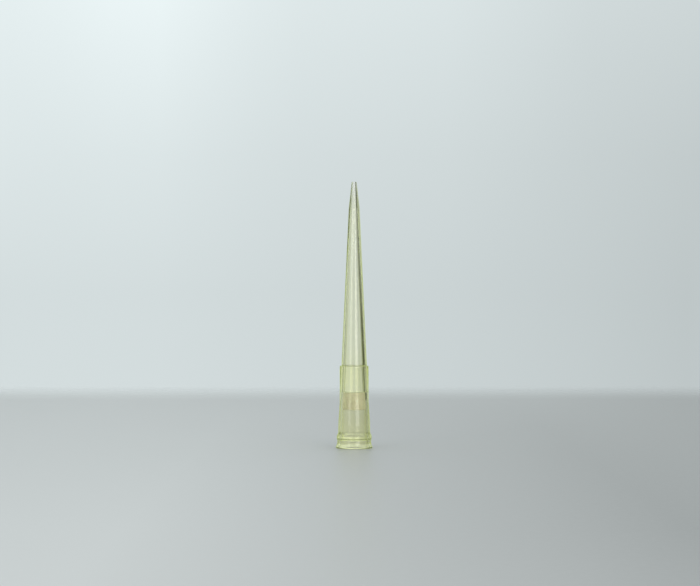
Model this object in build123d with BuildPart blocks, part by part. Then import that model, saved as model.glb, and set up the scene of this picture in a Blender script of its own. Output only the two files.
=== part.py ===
from build123d import *
import os

# A 200 microlitre filter tip for an air-displacement pipette, standing on its mouth, point up.
# Two pieces: the moulded tip body, and the sintered plug that is pushed into its bore.
# Millimetres. +Z runs from the mouth to the point, and the origin is the mouth's centre.
# Every height below is above the mouth's plane, and every radius is from the tip's axis.

# Outside of the body
TIP_LENGTH = 51.0
RIM_RADIUS = 3.48
RIM_HEIGHT = 0.22
FLARE_RADIUS = 3.28
FLARE_HEIGHT = 0.75
GROOVE_RADIUS = 3.21
GROOVE_HEIGHT = 1.58
BEAD_RADIUS = 3.33
BEAD_BOTTOM = 1.66
BEAD_CREST = 2.32
BEAD_TOP = 3.02
SKIRT_RADIUS = 3.04
SKIRT_HEIGHT = 3.40
BARREL_RADIUS = 2.76
BARREL_HEIGHT = 9.90
SHOULDER_HEIGHT = 15.75
CONE_BASE_RADIUS = 2.43
CONE_TOP_RADIUS = 1.03
CONE_TOP_HEIGHT = 46.0
POINT_RADIUS = 0.47

# Edge radii of the body
RIM_EDGE = 0.14
BEAD_LOWER_EDGE = 0.04
BEAD_UPPER_EDGE = 0.25
SHOULDER_EDGE = 0.14
SHOULDER_ROOT = 0.08
POINT_EDGE = 0.06

# Bore of the body
MOUTH_RADIUS = 2.95
LAND_RADIUS = 2.60
LAND_BOTTOM = 0.80
LAND_TOP = 1.74
STEP_RADIUS = 2.46
STEP_HEIGHT = 1.86
SOCKET_RADIUS = 2.36
SOCKET_HEIGHT = 2.70
LEDGE_RADIUS = 2.14
LEDGE_HEIGHT = 10.80
THROAT_RADIUS = 1.99
ORIFICE_RADIUS = 0.27

# Graduation rings: the 100, 50 and 10 microlitre levels, as distances from the point
GRADUATIONS = (30.3, 22.7, 11.0)
RING_WIRE_RADIUS = 0.15
RING_PROUD = 0.015

# Filter plug
PLUG_BOTTOM = 7.35
PLUG_LENGTH = 3.30
PLUG_CLEARANCE = 0.02
PLUG_EDGE = 0.08


def cone_radius(height):
    """Outside radius of the main cone at a height."""
    share = (height - SHOULDER_HEIGHT) / (CONE_TOP_HEIGHT - SHOULDER_HEIGHT)
    return CONE_BASE_RADIUS + share * (CONE_TOP_RADIUS - CONE_BASE_RADIUS)


def socket_radius(height):
    """Radius of the socket's tapered bore at a height."""
    share = (height - SOCKET_HEIGHT) / (LEDGE_HEIGHT - SOCKET_HEIGHT)
    return SOCKET_RADIUS + share * (LEDGE_RADIUS - SOCKET_RADIUS)


def circles_at(part, height):
    """The part's circular edges at a height, the smallest first."""
    circles = part.edges().filter_by(GeomType.CIRCLE)
    level = circles.filter_by_position(Axis.Z, height - 0.01, height + 0.01)
    return level.sort_by(SortBy.RADIUS)


with BuildPart() as tip_body:
    # outside: flared rim, groove, bead, skirt, barrel, shoulder, cone and steeper point
    with BuildSketch(Plane.XZ):
        with BuildLine():
            Polyline((0, 0), (RIM_RADIUS, 0), (RIM_RADIUS, RIM_HEIGHT))
            ThreePointArc(
                (RIM_RADIUS, RIM_HEIGHT),
                (FLARE_RADIUS, FLARE_HEIGHT),
                (GROOVE_RADIUS, GROOVE_HEIGHT),
            )
            Polyline(
                (GROOVE_RADIUS, GROOVE_HEIGHT),
                (BEAD_RADIUS, BEAD_BOTTOM),
                (BEAD_RADIUS, BEAD_CREST),
                (SKIRT_RADIUS, BEAD_TOP),
                (SKIRT_RADIUS, SKIRT_HEIGHT),
            )
            # two equal arcs draw the skirt in to the barrel, meeting halfway
            halfway = (
                (SKIRT_RADIUS + BARREL_RADIUS) / 2,
                (SKIRT_HEIGHT + BARREL_HEIGHT) / 2,
            )
            swell = TangentArc((SKIRT_RADIUS, SKIRT_HEIGHT), halfway, tangent=(0, 1))
            TangentArc(halfway, (BARREL_RADIUS, BARREL_HEIGHT), tangent=swell % 1)
            Polyline(
                (BARREL_RADIUS, BARREL_HEIGHT),
                (BARREL_RADIUS, SHOULDER_HEIGHT),
                (CONE_BASE_RADIUS, SHOULDER_HEIGHT),
                (CONE_TOP_RADIUS, CONE_TOP_HEIGHT),
                (POINT_RADIUS, TIP_LENGTH),
                (0, TIP_LENGTH),
                (0, 0),
            )
        make_face()
    revolve(axis=Axis.Z)

    # graduation rings, each a fine wire sunk into the cone so that only its crest stands proud
    with BuildSketch(Plane.XZ):
        for distance in GRADUATIONS:
            level = TIP_LENGTH - distance
            centre = cone_radius(level) + RING_PROUD - RING_WIRE_RADIUS
            with Locations((centre, level)):
                Circle(RING_WIRE_RADIUS)
    revolve(axis=Axis.Z)

    # bore: lead-in, sealing land, small step, tapered socket, ledge above the plug, and the
    # measuring cone down to the orifice
    with BuildSketch(Plane.XZ):
        with BuildLine():
            Polyline(
                (0, 0),
                (MOUTH_RADIUS, 0),
                (LAND_RADIUS, LAND_BOTTOM),
                (LAND_RADIUS, LAND_TOP),
                (STEP_RADIUS, STEP_HEIGHT),
                (SOCKET_RADIUS, SOCKET_HEIGHT),
                (LEDGE_RADIUS, LEDGE_HEIGHT),
                (THROAT_RADIUS, LEDGE_HEIGHT),
                (ORIFICE_RADIUS, TIP_LENGTH),
                (0, TIP_LENGTH),
                (0, 0),
            )
        make_face()
    revolve(axis=Axis.Z, mode=Mode.SUBTRACT)

    # moulded edges
    fillet(circles_at(tip_body, 0)[-1], RIM_EDGE)
    fillet(circles_at(tip_body, BEAD_BOTTOM)[-1], BEAD_LOWER_EDGE)
    fillet(circles_at(tip_body, BEAD_CREST)[-1], BEAD_UPPER_EDGE)
    fillet(circles_at(tip_body, BEAD_TOP)[-1], BEAD_UPPER_EDGE)
    fillet(circles_at(tip_body, SHOULDER_HEIGHT)[-1], SHOULDER_EDGE)
    fillet(circles_at(tip_body, SHOULDER_HEIGHT)[0], SHOULDER_ROOT)
    fillet(circles_at(tip_body, TIP_LENGTH)[-1], POINT_EDGE)

with BuildPart() as filter_plug:
    # follows the socket's taper, with a hair of clearance
    plug_top = PLUG_BOTTOM + PLUG_LENGTH
    with BuildSketch(Plane.XZ):
        with BuildLine():
            Polyline(
                (0, PLUG_BOTTOM),
                (socket_radius(PLUG_BOTTOM) - PLUG_CLEARANCE, PLUG_BOTTOM),
                (socket_radius(plug_top) - PLUG_CLEARANCE, plug_top),
                (0, plug_top),
                (0, PLUG_BOTTOM),
            )
        make_face()
    revolve(axis=Axis.Z)
    chamfer(filter_plug.edges().filter_by(GeomType.CIRCLE), PLUG_EDGE)

tip_body.part.label = "tip_body"
filter_plug.part.label = "filter_plug"

os.makedirs("parts", exist_ok=True)
export_step(tip_body.part, "parts/tip_body.step")
export_step(filter_plug.part, "parts/filter_plug.step")
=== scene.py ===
import math

import bmesh
import bpy
from bpy.props import FloatProperty, FloatVectorProperty, IntProperty, PointerProperty
from bpy.types import Operator, Panel, PropertyGroup
from mathutils import Matrix, Vector


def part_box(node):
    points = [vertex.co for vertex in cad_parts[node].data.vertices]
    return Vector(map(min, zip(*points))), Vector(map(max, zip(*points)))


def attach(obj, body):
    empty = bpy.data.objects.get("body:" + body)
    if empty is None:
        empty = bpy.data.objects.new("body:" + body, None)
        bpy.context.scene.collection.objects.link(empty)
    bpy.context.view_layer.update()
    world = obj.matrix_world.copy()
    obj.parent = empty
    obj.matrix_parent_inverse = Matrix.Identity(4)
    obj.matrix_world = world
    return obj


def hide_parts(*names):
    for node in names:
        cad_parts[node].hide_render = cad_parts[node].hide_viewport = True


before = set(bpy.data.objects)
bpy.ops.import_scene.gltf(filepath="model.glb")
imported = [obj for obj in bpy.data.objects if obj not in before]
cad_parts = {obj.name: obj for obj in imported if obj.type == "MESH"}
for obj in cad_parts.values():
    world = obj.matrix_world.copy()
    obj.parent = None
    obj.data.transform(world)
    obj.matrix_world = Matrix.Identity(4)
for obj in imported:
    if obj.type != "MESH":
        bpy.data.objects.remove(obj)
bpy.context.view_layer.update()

bl_info = {
    "name": "Filter pipette tip",
    "version": (1, 0, 0),
    "blender": (4, 5, 0),
    "location": "3D View > Sidebar > Pipette tip",
    "description": "Moulds a clear yellow filter pipette tip and its sintered plug, and lights them",
    "category": "Object",
}

# Lengths are in metres. Z runs up the tip's axis, from the mouth to the point.
MM = 0.001
BODY_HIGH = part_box("tip_body")[1]
PLUG_LOW, PLUG_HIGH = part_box("filter_plug")


# ---------------------------------------------------------------- fixed values

# Where the graduation rings lie, as distances from the point
GRADUATIONS = (30.3 * MM, 22.7 * MM, 11.0 * MM)

# Edge radii of the body, up its outside
RIM_EDGE = 0.14 * MM
RIM_TOP_EDGE = 0.08 * MM
BEAD_LOWER_EDGE = 0.04 * MM
BEAD_UPPER_EDGE = 0.25 * MM
SHOULDER_EDGE = 0.14 * MM
SHOULDER_ROOT = 0.08 * MM
RING_EDGE = 0.15 * MM
CONE_BEND = 2.0 * MM
POINT_EDGE = 0.06 * MM

# Edge radii of the body, back down its bore
ORIFICE_EDGE = 0.03 * MM
LEDGE_EDGE = 0.04 * MM
SOCKET_BEND = 0.3 * MM
STEP_EDGE = 0.06 * MM
LAND_EDGE = 0.08 * MM
LEAD_IN_BEND = 0.3 * MM
MOUTH_EDGE = 0.05 * MM

# The rim's flare and the skirt's curve: short straight runs, and how fast the flare thins
FLARE_RUNS = 8
FLARE_POWER = 2.4
SKIRT_RUNS = 16

# Fineness of the meshes: from what length a run of the body's section is split, into how many
# parts at least and how many times the even number, the spacing of points on the plug's section,
# and how near two points are when they are made one
LONGEST_RUN = 0.8 * MM
FEWEST_PARTS = 6
MORE_PARTS = 1.5
PLUG_SPACING = 0.06 * MM
WELD_DISTANCE = 0.0005 * MM

# Noises, in waves per metre. The two moulding marks are drawn out along the tip, which is what
# their scales for Z say.
CLOUD_SCALE = 260
DRAG_SCALE = 3200
DRAG_Z_SCALE = 0.03
RIPPLE_SCALE = 700
RIPPLE_Z_SCALE = 0.25
BEAD_SKIN_SCALE = 9000
MOTTLE_SCALE = 900

# The part of each pattern's values that is used
MIDDLE_VALUES = (0.3, 0.7)
DRAG_VALUES = (0.35, 0.75)
PORE_VALUES = (0.35, 0.8)

# What the patterns do: how far clouds shift the clear plastic's tint, how drag lines vary its
# haze, and how much drag lines and the beads' skin add to the relief
CLOUDINESS = 0.06
HAZE_SPREAD = (0.6, 1.6)
DRAG_RELIEF = 0.25
BEAD_SKIN_RELIEF = 0.3

# Where the table fades out, towards the back wall and all round, and how far it goes beyond that
TABLE_BACK = (160 * MM, 258 * MM)
TABLE_RIM = (450 * MM, 600 * MM)
TABLE_MARGIN = 10 * MM
TABLE_FACETS = 96

# How far the table's painted shading reaches to each side, in front of the tip and towards the back,
# and where the front's painted shading turns into the back's
TABLE_FRONT_REACH = 42 * MM
TABLE_REAR_REACH = 94 * MM
TABLE_TURNOVER = (-130 * MM, 160 * MM)

# Painted light on the table, falling off from left to right: (position, level in front, level towards
# the back)
TABLE_PAINTED_LIGHT = (
    (0.0, 0.59, 0.535),
    (0.15, 0.585, 0.535),
    (0.5, 0.465, 0.475),
    (0.8, 0.38, 0.42),
    (1.0, 0.31, 0.365),
)

# How far the table's mottle varies its brightness and its roughness
TABLE_MOTTLE = (0.98, 1.02)
TABLE_ROUGHNESS = (0.42, 0.46)

# What the eye and the clear plastic see of the studio's walls: (degrees from the back wall to the
# right, level at the height of the eye, level at the middle rise, level at the high rise)
STUDIO_WALLS = (
    (-180, 0.35, 0.35, 0.45),
    (-150, 0.32, 0.45, 0.55),
    (-120, 0.35, 0.70, 0.70),
    (-90, 0.45, 0.85, 0.80),
    (-65, 0.70, 0.80, 0.78),
    (-50, 0.53, 0.50, 0.60),
    (-40, 0.28, 0.40, 0.52),
    (-32, 0.36, 0.46, 0.57),
    (-26, 0.68, 0.65, 0.69),
    (-21, 0.82, 0.88, 0.82),
    (-16, 0.72, 0.90, 0.88),
    (-9.5, 0.73, 0.79, 0.90),
    (-6, 0.725, 0.80, 0.98),
    (-2, 0.69, 0.735, 0.84),
    (3, 0.655, 0.70, 0.81),
    (7, 0.61, 0.64, 0.725),
    (10, 0.57, 0.605, 0.71),
    (16, 0.70, 0.50, 0.70),
    (21, 0.38, 0.37, 0.58),
    (26, 0.32, 0.41, 0.54),
    (32, 0.20, 0.53, 0.53),
    (40, 0.13, 0.64, 0.50),
    (46, 0.05, 0.65, 0.50),
    (53, 0.05, 0.55, 0.50),
    (62, 0.0, 0.0, 0.45),
    (90, 0.10, 0.0, 0.42),
    (125, 0.60, 0.30, 0.48),
    (150, 0.40, 0.40, 0.48),
    (180, 0.35, 0.35, 0.45),
)

# The walls' rises above the eye, and the rise from which only the ceiling is seen
MIDDLE_RISE = math.radians(4)
HIGH_RISE = math.radians(10)
CEILING_RISE = math.radians(45)

# Soft lamps in front of the tip: (name, degrees from the back wall to the right, width, radiance)
SOFTBOXES = (
    ("front_right_softbox", 156, 0.30, 2.7),
    ("front_left_softbox", -143, 0.18, 2.0),
)
SOFTBOX_DISTANCE = 0.6
SOFTBOX_RISE = 0.10
SOFTBOX_HEIGHT = 0.50

# The camera's sensor, in millimetres
SENSOR_WIDTH = 36.0


# ---------------------------------------------------------------- settings


def length(name, description, default):
    """A size in metres."""
    return FloatProperty(
        name=name, description=description, default=default, min=0, unit="LENGTH", precision=5
    )


def colour(name, description, default):
    """A linear colour."""
    return FloatVectorProperty(
        name=name, description=description, default=default, size=3, subtype="COLOR", min=0, max=1
    )


def number(name, description, default):
    """A plain number."""
    return FloatProperty(name=name, description=description, default=default, min=0)


class BodySizes(PropertyGroup):
    """The moulded body's outside and bore, measured from the mouth's plane and the axis."""

    tip_length: length("Length", "Mouth to point", BODY_HIGH.z)
    rim_radius: length("Rim radius", "Outside of the flared mouth", BODY_HIGH.x)
    rim_height: length("Rim height", "Where the rim's upright face ends", 0.24 * MM)
    groove_radius: length("Groove radius", "Neck between the rim and the bead", 3.21 * MM)
    groove_height: length("Groove height", "Where the flare ends under the bead", 1.58 * MM)
    bead_radius: length("Bead radius", "Outside of the bead", 3.33 * MM)
    bead_bottom: length("Bead bottom", "Lower edge of the bead", 1.66 * MM)
    bead_crest: length("Bead crest", "Upper edge of the bead's straight face", 2.32 * MM)
    bead_top: length("Bead top", "Where the bead meets the skirt", 3.02 * MM)
    skirt_radius: length("Skirt radius", "Outside of the collar above the bead", 3.04 * MM)
    skirt_height: length("Skirt height", "Where the skirt begins to draw in", 3.40 * MM)
    barrel_radius: length("Barrel radius", "Outside of the collar's straight part", 2.76 * MM)
    barrel_height: length("Barrel height", "Where the straight part begins", 9.90 * MM)
    shoulder_height: length("Shoulder height", "The collar's step", 15.75 * MM)
    cone_base_radius: length("Cone base radius", "Cone at the shoulder", 2.43 * MM)
    cone_top_radius: length("Cone top radius", "Cone where it steepens", 1.03 * MM)
    cone_top_height: length("Cone top height", "Where the cone steepens", 46.0 * MM)
    point_radius: length("Point radius", "Outside of the point", 0.47 * MM)
    mouth_radius: length("Mouth radius", "Bore at the mouth's plane", 2.95 * MM)
    land_radius: length("Land radius", "Bore of the sealing land", 2.60 * MM)
    land_bottom: length("Land bottom", "Where the lead-in ends", 0.80 * MM)
    land_top: length("Land top", "Where the land ends", 1.74 * MM)
    step_radius: length("Step radius", "Bore over the small step above the land", 2.46 * MM)
    step_height: length("Step height", "Top of the small step above the land", 1.86 * MM)
    socket_radius: length("Socket radius", "Bore where the socket's taper begins", 2.36 * MM)
    socket_height: length("Socket height", "Where the socket's taper begins", 2.70 * MM)
    ledge_radius: length("Ledge radius", "Bore just under the ledge above the plug", 2.14 * MM)
    ledge_height: length("Ledge height", "Where the measuring cone begins", 10.80 * MM)
    throat_radius: length("Throat radius", "Bore just over the ledge", 1.99 * MM)
    orifice_radius: length("Orifice radius", "Bore at the point", 0.27 * MM)
    ring_proud: length("Ring height", "How far a graduation ring stands out", 0.012 * MM)
    ring_width: length("Ring width", "Half the width of a graduation ring", 0.11 * MM)
    steps: IntProperty(name="Steps", description="Facets around the body", default=192, min=24)


class PlugSizes(PropertyGroup):
    """The sintered plug."""

    bottom: length("Bottom", "Plug's face towards the mouth", PLUG_LOW.z)
    top: length("Top", "Plug's face towards the point", PLUG_HIGH.z)
    bottom_radius: length("Bottom radius", "Plug at its lower face", PLUG_HIGH.x)
    taper: length("Taper", "How much narrower the upper face is", 0.09 * MM)
    edge: length("Edge", "Chamfer around both faces", 0.08 * MM)
    grain: length("Grain", "Diameter of a fused bead", 0.24 * MM)
    grain_depth: length("Grain depth", "Depth of the hollows between beads", 0.035 * MM)
    seed: IntProperty(name="Seed", description="Arrangement of the beads", default=4)
    steps: IntProperty(name="Steps", description="Facets around the plug", default=220, min=24)


class Finishes(PropertyGroup):
    """Looks of the two plastics."""

    ior: number("IOR", "Refractive index of the clear plastic", 1.49)
    absorbed: colour(
        "Absorbed", "How strongly each colour is absorbed, against the full strength", (0.09, 0.07, 1.0)
    )
    absorption: number("Absorption", "Full strength of the absorption, per metre", 245.0)
    haze: number("Haze", "Roughness of the moulded surface", 0.04)
    skin_colour: colour(
        "Skin colour", "What the cone's surface passes of each colour", (1.0, 0.985, 1.0)
    )
    mouth_colour: colour(
        "Mouth colour", "What the mouth's surface passes of each colour", (1.0, 0.985, 0.90)
    )
    tint_height: length("Tint height", "How far up the mouth's colour reaches", 20 * MM)
    # painted sheen: a yellow-green sheen where the wall is seen edge on stands in for light scattered
    # inside the plastic
    painted_sheen_colour: colour(
        "Painted sheen colour", "Light that gathers where the wall is seen edge on", (0.75, 0.86, 0.15)
    )
    painted_sheen: number("Painted sheen", "Strength of that light", 1.0)
    painted_sheen_spread: number("Painted sheen spread", "How far that light reaches in from the edge", 0.4)
    bead_colour: colour("Bead colour", "Fused polyethylene beads", (0.98, 0.925, 0.83))
    # painted shade: the hollows between the beads are coloured darker, as shade falls in them
    painted_pore_shade: colour("Painted pore shade", "Hollows between the beads", (0.84, 0.77, 0.66))
    bead_roughness: number("Bead roughness", "Roughness of the fused beads", 0.76)
    pore_roughness: number("Pore roughness", "Roughness of the hollows between them", 0.88)


class StageLook(PropertyGroup):
    """Table, studio walls and camera."""

    table_tint: colour("Table tint", "Slightly warm tint of the satin table", (1.0, 0.985, 0.975))
    dome_level: number("Dome", "Even light on dull surfaces", 0.88)
    ceiling_level: number("Ceiling", "What clear plastic sees above the studio's walls", 0.79)
    wall_tint: colour("Wall tint", "Cool white of the walls, ceiling and dome", (0.90, 0.99, 1.0))
    lens: number("Lens", "Focal length in millimetres", 100.0)
    distance: length("Distance", "Camera to the tip's axis", 373.0 * MM)
    eye_height: length("Eye height", "Camera above the table", 29.7 * MM)
    aside: length("Aside", "How far the camera stands left of the tip", 0.8 * MM)


class TipSettings(PropertyGroup):
    """All the settings, as the panel shows them."""

    body: PointerProperty(type=BodySizes)
    plug: PointerProperty(type=PlugSizes)
    finishes: PointerProperty(type=Finishes)
    stage: PointerProperty(type=StageLook)


# ---------------------------------------------------------------- outlines


def rounded(corners, facets=6):
    """A closed outline with each corner (radius, height, edge radius) replaced by an arc."""
    outline = []
    for i, (radius, height, edge) in enumerate(corners):
        here = Vector((radius, height))
        if not edge:
            outline.append(here)
            continue
        into = (here - Vector(corners[i - 1][:2])).normalized()
        out = (Vector(corners[(i + 1) % len(corners)][:2]) - here).normalized()
        turn = math.atan2(into.x * out.y - into.y * out.x, into.dot(out))
        start = here - into * edge * math.tan(abs(turn) / 2)
        side = Vector((-into.y, into.x)) * math.copysign(edge, turn)
        centre = start + side
        for step in range(facets + 1):
            arm = Matrix.Rotation(turn * step / facets, 2) @ -side
            outline.append(centre + arm)
    return outline


def gathered(outline, longest):
    """Splits a closed outline's long runs, with the points gathered near each run's ends.

    That keeps the shading true there. The parts in the middle come out longer than even parts
    would, so there are more of them.
    """
    points = []
    for i, start in enumerate(outline):
        points.append(start)
        end = outline[(i + 1) % len(outline)]
        run = (end - start).length
        if run > longest:
            parts = max(FEWEST_PARTS, math.ceil(MORE_PARTS * run / longest))
            for part in range(1, parts):
                points.append(start.lerp(end, (1 - math.cos(math.pi * part / parts)) / 2))
    return points


def spaced(outline, spacing):
    """An open outline's runs, each split into equal steps of about the spacing."""
    points = []
    for start, end in zip(outline, outline[1:]):
        parts = max(1, round((end - start).length / spacing))
        points += [start.lerp(end, part / parts) for part in range(parts)]
    points.append(outline[-1])
    return points


def section_mesh(name, points, closed):
    """The outline as a mesh of points and edges in the XZ plane."""
    count = len(points)
    edges = [(i, (i + 1) % count) for i in range(count if closed else count - 1)]
    mesh = bpy.data.meshes.new(name)
    mesh.from_pydata([(p.x, 0, p.y) for p in points], edges, [])
    return mesh


def body_corners(size):
    """The wall's section: up the outside from the rim to the point, and back down the bore."""
    corners = [
        (size.rim_radius, 0, RIM_EDGE),
        (size.rim_radius, size.rim_height, RIM_TOP_EDGE),
    ]

    # the rim's flare thins upwards into the groove
    flare = size.rim_radius - size.groove_radius
    for run in range(1, FLARE_RUNS + 1):
        share = run / FLARE_RUNS
        radius = size.groove_radius + flare * (1 - share) ** FLARE_POWER
        height = size.rim_height + share * (size.groove_height - size.rim_height)
        corners.append((radius, height, 0))

    corners += [
        (size.bead_radius, size.bead_bottom, BEAD_LOWER_EDGE),
        (size.bead_radius, size.bead_crest, BEAD_UPPER_EDGE),
        (size.skirt_radius, size.bead_top, BEAD_UPPER_EDGE),
    ]

    # the skirt draws in to the barrel on a smooth curve
    for run in range(SKIRT_RUNS + 1):
        share = run / SKIRT_RUNS
        ease = share * share * (3 - 2 * share)
        radius = size.skirt_radius + ease * (size.barrel_radius - size.skirt_radius)
        height = size.skirt_height + share * (size.barrel_height - size.skirt_height)
        corners.append((radius, height, 0))

    corners += [
        (size.barrel_radius, size.shoulder_height, SHOULDER_EDGE),
        (size.cone_base_radius, size.shoulder_height, SHOULDER_ROOT),
    ]

    # each graduation ring is a low ridge with soft edges
    slope = (size.cone_top_radius - size.cone_base_radius) / (
        size.cone_top_height - size.shoulder_height
    )
    for distance in GRADUATIONS:
        level = size.tip_length - distance
        for offset in (-size.ring_width, 0, size.ring_width):
            radius = size.cone_base_radius + slope * (level + offset - size.shoulder_height)
            proud = 0 if offset else size.ring_proud
            corners.append((radius + proud, level + offset, RING_EDGE))

    corners += [
        (size.cone_top_radius, size.cone_top_height, CONE_BEND),
        (size.point_radius, size.tip_length, POINT_EDGE),
        (size.orifice_radius, size.tip_length, ORIFICE_EDGE),
        (size.throat_radius, size.ledge_height, LEDGE_EDGE),
        (size.ledge_radius, size.ledge_height, LEDGE_EDGE),
        (size.socket_radius, size.socket_height, SOCKET_BEND),
        (size.step_radius, size.step_height, STEP_EDGE),
        (size.land_radius, size.land_top, LAND_EDGE),
        (size.land_radius, size.land_bottom, LEAD_IN_BEND),
        (size.mouth_radius, 0, MOUTH_EDGE),
    ]
    return corners


def plug_outline(plug):
    """The plug's section, from the axis round its two chamfers and back to the axis."""
    top_radius = plug.bottom_radius - plug.taper
    return [
        Vector((0, plug.bottom)),
        Vector((plug.bottom_radius - plug.edge, plug.bottom)),
        Vector((plug.bottom_radius, plug.bottom + plug.edge)),
        Vector((top_radius, plug.top - plug.edge)),
        Vector((top_radius - plug.edge, plug.top)),
        Vector((0, plug.top)),
    ]


# ---------------------------------------------------------------- nodes of any tree


def add(tree, kind, **values):
    """A node with its own settings or its named inputs filled in."""
    node = tree.nodes.new(kind)
    for key, value in values.items():
        if hasattr(node, key):
            setattr(node, key, value)
        else:
            node.inputs[key.replace("_", " ")].default_value = value
    return node


def feed(tree, socket, value):
    """Sets an input to a number, or links another node's output to it."""
    if isinstance(value, (int, float)):
        socket.default_value = value
    else:
        tree.links.new(value, socket)


def maths(tree, operation, first, second=0):
    """A maths node on two sockets or numbers."""
    node = add(tree, "ShaderNodeMath", operation=operation)
    feed(tree, node.inputs[0], first)
    feed(tree, node.inputs[1], second)
    return node.outputs[0]


# ---------------------------------------------------------------- geometry nodes


def lathe_tree(grains):
    """Turns a section about Z. With grains, its skin is then pitted into fused beads."""
    tree = bpy.data.node_groups.new("turned_plug" if grains else "turned_body", "GeometryNodeTree")
    inputs = [("Section", "Geometry"), ("Steps", "Int"), ("Material", "Material")]
    if grains:
        inputs += [("Grain size", "Float"), ("Grain depth", "Float"), ("Seed", "Float")]
    for name, kind in inputs:
        tree.interface.new_socket(name, in_out="INPUT", socket_type="NodeSocket" + kind)
    tree.interface.new_socket("Piece", in_out="OUTPUT", socket_type="NodeSocketGeometry")
    link = tree.links.new
    given = tree.nodes.new("NodeGroupInput")
    result = tree.nodes.new("NodeGroupOutput")

    # a grid with one column of points for each step, and one row for each point of the section,
    # where a closed section comes back to its first point
    size = add(tree, "GeometryNodeAttributeDomainSize", component="MESH")
    link(given.outputs["Section"], size.inputs["Geometry"])
    rows = maths(tree, "ADD", size.outputs["Point Count"], 0 if grains else 1)
    grid = tree.nodes.new("GeometryNodeMeshGrid")
    link(maths(tree, "ADD", given.outputs["Steps"], 1), grid.inputs["Vertices X"])
    link(rows, grid.inputs["Vertices Y"])

    # each point takes its place on the section, turned by its column's share of a full turn
    index = tree.nodes.new("GeometryNodeInputIndex").outputs[0]
    column = maths(tree, "FLOOR", maths(tree, "DIVIDE", index, rows))
    row = maths(tree, "SUBTRACT", index, maths(tree, "MULTIPLY", column, rows))
    wrapped = maths(tree, "MODULO", row, size.outputs["Point Count"])
    place = add(tree, "GeometryNodeSampleIndex", data_type="FLOAT_VECTOR", domain="POINT")
    link(given.outputs["Section"], place.inputs["Geometry"])
    link(tree.nodes.new("GeometryNodeInputPosition").outputs[0], place.inputs["Value"])
    link(wrapped, place.inputs["Index"])
    turn = maths(tree, "DIVIDE", column, given.outputs["Steps"])
    turned = add(tree, "ShaderNodeVectorRotate", rotation_type="Z_AXIS")
    link(place.outputs["Value"], turned.inputs["Vector"])
    link(maths(tree, "MULTIPLY", turn, 2 * math.pi), turned.inputs["Angle"])
    moved = tree.nodes.new("GeometryNodeSetPosition")
    link(grid.outputs["Mesh"], moved.inputs["Geometry"])
    link(turned.outputs[0], moved.inputs["Position"])

    # the seam and the poles are closed
    merged = add(tree, "GeometryNodeMergeByDistance", Distance=WELD_DISTANCE)
    link(moved.outputs[0], merged.inputs["Geometry"])
    skin = merged.outputs[0]

    # the skin sinks between the beads
    if grains:
        cells = add(tree, "ShaderNodeTexVoronoi", voronoi_dimensions="4D", feature="F1")
        link(tree.nodes.new("GeometryNodeInputPosition").outputs[0], cells.inputs["Vector"])
        link(given.outputs["Seed"], cells.inputs["W"])
        link(maths(tree, "DIVIDE", 1, given.outputs["Grain size"]), cells.inputs["Scale"])
        hollow = maths(tree, "POWER", cells.outputs["Distance"], 2)
        depth = maths(tree, "MULTIPLY", hollow, given.outputs["Grain depth"])
        offset = add(tree, "ShaderNodeVectorMath", operation="SCALE")
        link(tree.nodes.new("GeometryNodeInputNormal").outputs[0], offset.inputs[0])
        link(maths(tree, "MULTIPLY", depth, -1), offset.inputs["Scale"])
        pitted = tree.nodes.new("GeometryNodeSetPosition")
        link(skin, pitted.inputs["Geometry"])
        link(offset.outputs[0], pitted.inputs["Offset"])
        skin = pitted.outputs[0]

    smooth = add(tree, "GeometryNodeSetShadeSmooth", Shade_Smooth=True)
    link(skin, smooth.inputs["Geometry"])
    whole = tree.nodes.new("GeometryNodeRealizeInstances")
    link(smooth.outputs[0], whole.inputs[0])
    coated = tree.nodes.new("GeometryNodeSetMaterial")
    link(whole.outputs[0], coated.inputs["Geometry"])
    link(given.outputs["Material"], coated.inputs["Material"])
    link(coated.outputs[0], result.inputs["Piece"])
    return tree


def turned_piece(name, section, tree, values):
    """Runs the tree on the section, and keeps its result as a plain mesh that faces outwards."""
    source = bpy.data.objects.new(name + "_section", section)
    bpy.context.collection.objects.link(source)
    lathe = source.modifiers.new("lathe", "NODES")
    lathe.node_group = tree
    for socket in tree.interface.items_tree:
        if socket.in_out == "INPUT" and socket.name in values:
            lathe[socket.identifier] = values[socket.name]
    ready = source.evaluated_get(bpy.context.evaluated_depsgraph_get())
    mesh = bpy.data.meshes.new_from_object(ready)
    source.modifiers.clear()
    bpy.data.objects.remove(source)

    solid = bmesh.new()
    solid.from_mesh(mesh)
    if solid.calc_volume(signed=True) < 0:
        bmesh.ops.reverse_faces(solid, faces=solid.faces)
    solid.to_mesh(mesh)
    solid.free()
    piece = bpy.data.objects.new(name, mesh)
    bpy.context.collection.objects.link(piece)
    return piece


# ---------------------------------------------------------------- shader nodes


def new_material(name):
    """An empty material with its output, shader and object coordinates."""
    material = bpy.data.materials.new(name)
    material.use_nodes = True
    tree = material.node_tree
    tree.nodes.clear()
    output = tree.nodes.new("ShaderNodeOutputMaterial")
    shader = tree.nodes.new("ShaderNodeBsdfPrincipled")
    tree.links.new(shader.outputs[0], output.inputs["Surface"])
    place = tree.nodes.new("ShaderNodeTexCoord").outputs["Object"]
    return material, tree, shader, output, place


def split(tree, vector):
    """A vector's X, Y and Z."""
    parts = tree.nodes.new("ShaderNodeSeparateXYZ")
    tree.links.new(vector, parts.inputs[0])
    return parts.outputs[0], parts.outputs[1], parts.outputs[2]


def noise(tree, place, scale, detail, z_scale=1):
    """Noise with a number of waves per metre. A low z_scale draws it out along Z."""
    mapping = tree.nodes.new("ShaderNodeMapping")
    mapping.inputs["Scale"].default_value = (1, 1, z_scale)
    tree.links.new(place, mapping.inputs["Vector"])
    texture = add(tree, "ShaderNodeTexNoise", Scale=scale, Detail=detail)
    tree.links.new(mapping.outputs[0], texture.inputs["Vector"])
    return texture.outputs["Fac"]


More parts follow.
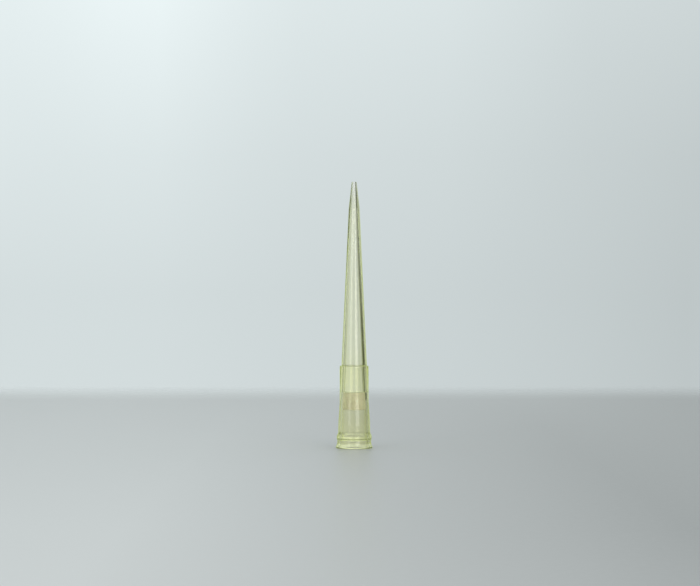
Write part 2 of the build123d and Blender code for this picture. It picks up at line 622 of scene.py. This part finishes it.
def ramp(tree, factor, source, target=(0, 1), shape="LINEAR"):
    """A number that runs over the target range while factor runs over the source range."""
    node = add(
        tree,
        "ShaderNodeMapRange",
        interpolation_type=shape,
        From_Min=source[0],
        From_Max=source[1],
        To_Min=target[0],
        To_Max=target[1],
    )
    tree.links.new(factor, node.inputs["Value"])
    return node.outputs[0]


def grey_stops(tree, factor, stops):
    """Grey levels at given positions from 0 to 1."""
    node = tree.nodes.new("ShaderNodeValToRGB")
    tree.links.new(factor, node.inputs[0])
    elements = node.color_ramp.elements
    for i, (position, level) in enumerate(stops):
        stop = elements[i] if i < 2 else elements.new(position)
        stop.position = position
        stop.color = (level, level, level, 1)
    return node.outputs["Color"]


def blend(tree, factor, first, second):
    """A blend of two numbers."""
    node = add(tree, "ShaderNodeMix", data_type="FLOAT")
    feed(tree, node.inputs[0], factor)
    feed(tree, node.inputs[2], first)
    feed(tree, node.inputs[3], second)
    return node.outputs[0]


def two_colours(tree, factor, first, second):
    """A blend of two colours."""
    node = add(tree, "ShaderNodeMix", data_type="RGBA")
    tree.links.new(factor, node.inputs["Factor"])
    colours = [socket for socket in node.inputs if socket.type == "RGBA"]
    colours[0].default_value = (*first, 1)
    colours[1].default_value = (*second, 1)
    return [socket for socket in node.outputs if socket.type == "RGBA"][0]


def add_relief(tree, shader, height, strength, depth):
    """Bumps the shader's surface by a height from 0 to 1, where 1 stands for the depth."""
    bump = add(tree, "ShaderNodeBump", Strength=strength, Distance=depth)
    tree.links.new(height, bump.inputs["Height"])
    tree.links.new(bump.outputs[0], shader.inputs["Normal"])


# ---------------------------------------------------------------- materials


def clear_yellow_polypropylene(look):
    """Clear moulded plastic that is yellow by depth, with drag lines along it, a little haze and
    painted edge sheen.
    """
    material, tree, shader, output, place = new_material("clear_yellow_polypropylene")
    link = tree.links.new
    shader.inputs["IOR"].default_value = look.ior
    shader.inputs["Transmission Weight"].default_value = 1
    # painted sheen: a yellow-green sheen at grazing angles stands in for light scattered inside the
    # wall
    shader.inputs["Sheen Weight"].default_value = look.painted_sheen
    shader.inputs["Sheen Roughness"].default_value = look.painted_sheen_spread
    shader.inputs["Sheen Tint"].default_value = (*look.painted_sheen_colour, 1)

    # the skin's colour deepens a little, and not quite evenly, from the cone to the mouth
    height = split(tree, place)[2]
    towards_mouth = ramp(tree, height, (0, look.tint_height), (1, 0))
    cloud = noise(tree, place, CLOUD_SCALE, detail=3)
    patches = ramp(tree, cloud, MIDDLE_VALUES, (-CLOUDINESS, CLOUDINESS))
    patchy = maths(tree, "MAXIMUM", maths(tree, "ADD", towards_mouth, patches), 0)
    skin = two_colours(tree, patchy, look.skin_colour, look.mouth_colour)
    link(skin, shader.inputs["Base Color"])

    drag_lines = noise(tree, place, DRAG_SCALE, detail=3, z_scale=DRAG_Z_SCALE)
    rough = ramp(tree, drag_lines, DRAG_VALUES, [look.haze * share for share in HAZE_SPREAD])
    link(rough, shader.inputs["Roughness"])

    ripple = noise(tree, place, RIPPLE_SCALE, detail=2, z_scale=RIPPLE_Z_SCALE)
    relief = maths(tree, "ADD", maths(tree, "MULTIPLY", drag_lines, DRAG_RELIEF), ripple)
    add_relief(tree, shader, relief, strength=0.08, depth=0.02 * MM)

    yellow = tree.nodes.new("ShaderNodeVolumeAbsorption")
    yellow.inputs["Color"].default_value = (*[1 - share for share in look.absorbed], 1)
    yellow.inputs["Density"].default_value = look.absorption
    link(yellow.outputs[0], output.inputs["Volume"])
    return material


def sintered_polyethylene(look, grain):
    """Off-white beads fused at their contacts, with painted shade in the pores between them."""
    material, tree, shader, _, place = new_material("sintered_polyethylene")
    link = tree.links.new
    cells = add(tree, "ShaderNodeTexVoronoi", feature="F1", Scale=1 / grain)
    link(place, cells.inputs["Vector"])
    pores = ramp(tree, cells.outputs["Distance"], PORE_VALUES)
    # painted shade: the pores between the beads are coloured darker
    skin = two_colours(tree, pores, look.bead_colour, look.painted_pore_shade)
    link(skin, shader.inputs["Base Color"])
    rough = ramp(tree, pores, (0, 1), (look.bead_roughness, look.pore_roughness))
    link(rough, shader.inputs["Roughness"])

    fine = noise(tree, place, BEAD_SKIN_SCALE, detail=3)
    relief = maths(tree, "SUBTRACT", maths(tree, "MULTIPLY", fine, BEAD_SKIN_RELIEF), pores)
    add_relief(tree, shader, relief, strength=0.5, depth=0.05 * MM)
    return material


def satin_table(look):
    """Grey satin table, painted paler to the left as light falling off across it, that fades out at its
    far edge.
    """
    material, tree, shader, output, place = new_material("satin_table")
    link = tree.links.new
    across, rearward, _ = split(tree, place)

    # painted light: the table's brightness falls off from left to right and towards the back
    near_share = ramp(tree, across, (-TABLE_FRONT_REACH, TABLE_FRONT_REACH))
    far_share = ramp(tree, across, (-TABLE_REAR_REACH, TABLE_REAR_REACH))
    front = grey_stops(tree, near_share, [(stop, near) for stop, near, _ in TABLE_PAINTED_LIGHT])
    rear = grey_stops(tree, far_share, [(stop, far) for stop, _, far in TABLE_PAINTED_LIGHT])
    painted_light = blend(tree, ramp(tree, rearward, TABLE_TURNOVER), front, rear)
    mottle = noise(tree, place, MOTTLE_SCALE, detail=4)
    mottled = maths(tree, "MULTIPLY", painted_light, ramp(tree, mottle, (0, 1), TABLE_MOTTLE))
    paint = add(tree, "ShaderNodeVectorMath", operation="SCALE")
    paint.inputs[0].default_value = look.table_tint
    link(mottled, paint.inputs["Scale"])
    link(paint.outputs[0], shader.inputs["Base Color"])
    link(ramp(tree, mottle, MIDDLE_VALUES, TABLE_ROUGHNESS), shader.inputs["Roughness"])

    reach = add(tree, "ShaderNodeVectorMath", operation="LENGTH")
    link(place, reach.inputs[0])
    back = ramp(tree, rearward, TABLE_BACK, shape="SMOOTHSTEP")
    rim = ramp(tree, reach.outputs["Value"], TABLE_RIM, shape="SMOOTHSTEP")
    clear = tree.nodes.new("ShaderNodeBsdfTransparent")
    mix = tree.nodes.new("ShaderNodeMixShader")
    link(maths(tree, "MAXIMUM", back, rim), mix.inputs[0])
    link(shader.outputs[0], mix.inputs[1])
    link(clear.outputs[0], mix.inputs[2])
    link(mix.outputs[0], output.inputs["Surface"])
    return material


# ---------------------------------------------------------------- stage


def studio_world(look):
    """Even light for dull surfaces. The eye and the clear plastic see the studio's walls."""
    world = bpy.data.worlds.new("soft_studio")
    bpy.context.scene.world = world
    world.use_nodes = True
    tree = world.node_tree
    tree.nodes.clear()
    across, rearward, upward = split(tree, tree.nodes.new("ShaderNodeTexCoord").outputs["Generated"])

    # the walls by bearing, at three rises, and the ceiling over them
    turn = ramp(tree, maths(tree, "ARCTAN2", across, rearward), (-math.pi, math.pi))
    rise = maths(tree, "ARCSINE", upward)
    low, middle, high = (
        grey_stops(tree, turn, [((row[0] + 180) / 360, row[i]) for row in STUDIO_WALLS])
        for i in (1, 2, 3)
    )
    walls = blend(tree, ramp(tree, rise, (0, MIDDLE_RISE)), low, middle)
    walls = blend(tree, ramp(tree, rise, (MIDDLE_RISE, HIGH_RISE)), walls, high)
    overhead = ramp(tree, rise, (HIGH_RISE, CEILING_RISE), shape="SMOOTHSTEP")
    seen = blend(tree, overhead, walls, look.ceiling_level)

    # light that has met a dull surface comes from an even dome
    path = tree.nodes.new("ShaderNodeLightPath").outputs
    clear_path = maths(tree, "MAXIMUM", path["Is Glossy Ray"], path["Is Transmission Ray"])
    untouched = maths(tree, "LESS_THAN", path["Diffuse Depth"], 0.5)
    clear_path = maths(tree, "MULTIPLY", clear_path, untouched)
    in_sight = maths(tree, "MAXIMUM", path["Is Camera Ray"], clear_path)

    shine = tree.nodes.new("ShaderNodeBackground")
    shine.inputs["Color"].default_value = (*look.wall_tint, 1)
    tree.links.new(blend(tree, in_sight, look.dome_level, seen), shine.inputs["Strength"])
    output = tree.nodes.new("ShaderNodeOutputWorld")
    tree.links.new(shine.outputs[0], output.inputs["Surface"])


def softbox(name, bearing, width, radiance):
    """A soft lamp in front of the tip that faces it. The bearing is as in SOFTBOXES."""
    lamp = bpy.data.lights.new(name, "AREA")
    lamp.shape = "RECTANGLE"
    lamp.size = width
    lamp.size_y = SOFTBOX_HEIGHT
    lamp.energy = radiance * width * SOFTBOX_HEIGHT * math.pi
    box = bpy.data.objects.new(name, lamp)
    angle = math.radians(bearing)
    box.location = (
        SOFTBOX_DISTANCE * math.sin(angle),
        SOFTBOX_DISTANCE * math.cos(angle),
        SOFTBOX_RISE,
    )
    aim = Vector((0, 0, 0.5 * BODY_HIGH.z)) - box.location
    box.rotation_euler = aim.to_track_quat("-Z", "Y").to_euler()
    box.visible_camera = False
    bpy.context.collection.objects.link(box)


def table(look):
    """A round table top under the tip, a little wider than where its material fades out."""
    disc = bmesh.new()
    radius = TABLE_RIM[1] + TABLE_MARGIN
    bmesh.ops.create_circle(disc, cap_ends=True, radius=radius, segments=TABLE_FACETS)
    mesh = bpy.data.meshes.new("table")
    disc.to_mesh(mesh)
    disc.free()
    mesh.materials.append(satin_table(look))
    top = bpy.data.objects.new("table", mesh)
    bpy.context.collection.objects.link(top)


def camera(look):
    """Level camera, a little above the height of the tip's middle."""
    data = bpy.data.cameras.new("camera")
    data.lens = look.lens
    data.sensor_width = SENSOR_WIDTH
    view = bpy.data.objects.new("camera", data)
    view.location = (-look.aside, -look.distance, look.eye_height)
    view.rotation_euler = (math.radians(90), 0, 0)
    bpy.context.collection.objects.link(view)
    bpy.context.scene.camera = view


# ---------------------------------------------------------------- operators


class TIP_OT_mould_body(Operator):
    """Mould the tip's body: turn its wall section about the axis"""

    bl_idname = "tip.mould_body"
    bl_label = "Mould body"

    def execute(self, context):
        settings = context.scene.pipette_tip
        points = gathered(rounded(body_corners(settings.body)), LONGEST_RUN)
        values = {
            "Steps": settings.body.steps,
            "Material": clear_yellow_polypropylene(settings.finishes),
        }
        section = section_mesh("body_section", points, closed=True)
        body = turned_piece("tip_body_moulding", section, lathe_tree(grains=False), values)
        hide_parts("tip_body")
        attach(body, "root")
        return {"FINISHED"}


class TIP_OT_press_plug(Operator):
    """Press the sintered filter plug into the bore"""

    bl_idname = "tip.press_plug"
    bl_label = "Press plug"

    def execute(self, context):
        settings = context.scene.pipette_tip
        plug = settings.plug
        points = spaced(plug_outline(plug), PLUG_SPACING)
        values = {
            "Steps": plug.steps,
            "Material": sintered_polyethylene(settings.finishes, plug.grain),
            "Grain size": plug.grain,
            "Grain depth": plug.grain_depth,
            "Seed": float(plug.seed),
        }
        section = section_mesh("plug_section", points, closed=False)
        piece = turned_piece("filter_plug_sinter", section, lathe_tree(grains=True), values)
        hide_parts("filter_plug")
        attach(piece, "root")
        return {"FINISHED"}


class TIP_OT_set_stage(Operator):
    """Set the table, the studio, the lamps and the camera"""

    bl_idname = "tip.set_stage"
    bl_label = "Set stage"

    def execute(self, context):
        look = context.scene.pipette_tip.stage
        table(look)
        studio_world(look)
        for lamp in SOFTBOXES:
            softbox(*lamp)
        camera(look)
        return {"FINISHED"}


class TIP_PT_panel(Panel):
    """Lists the steps that make the tip, each with its settings"""

    bl_idname = "TIP_PT_panel"
    bl_label = "Pipette tip"
    bl_space_type = "VIEW_3D"
    bl_region_type = "UI"
    bl_category = "Pipette tip"

    def draw(self, context):
        settings = context.scene.pipette_tip
        for operator, group in (
            ("tip.mould_body", settings.body),
            ("tip.press_plug", settings.plug),
            ("tip.set_stage", settings.stage),
        ):
            box = self.layout.box()
            box.operator(operator)
            for name in group.__annotations__:
                box.prop(group, name)
        box = self.layout.box()
        for name in settings.finishes.__annotations__:
            box.prop(settings.finishes, name)


CLASSES = (
    BodySizes,
    PlugSizes,
    Finishes,
    StageLook,
    TipSettings,
    TIP_OT_mould_body,
    TIP_OT_press_plug,
    TIP_OT_set_stage,
    TIP_PT_panel,
)


def register():
    """Adds the settings, the operators and the panel to Blender."""
    for cls in CLASSES:
        bpy.utils.register_class(cls)
    bpy.types.Scene.pipette_tip = PointerProperty(type=TipSettings)


def unregister():
    """Takes them out again."""
    del bpy.types.Scene.pipette_tip
    for cls in reversed(CLASSES):
        bpy.utils.unregister_class(cls)


def main():
    """Makes the stage and both pieces."""
    register()
    bpy.context.scene.view_settings.view_transform = "Standard"
    bpy.ops.tip.set_stage()
    bpy.ops.tip.mould_body()
    bpy.ops.tip.press_plug()


if __name__ == "__main__":
    main()
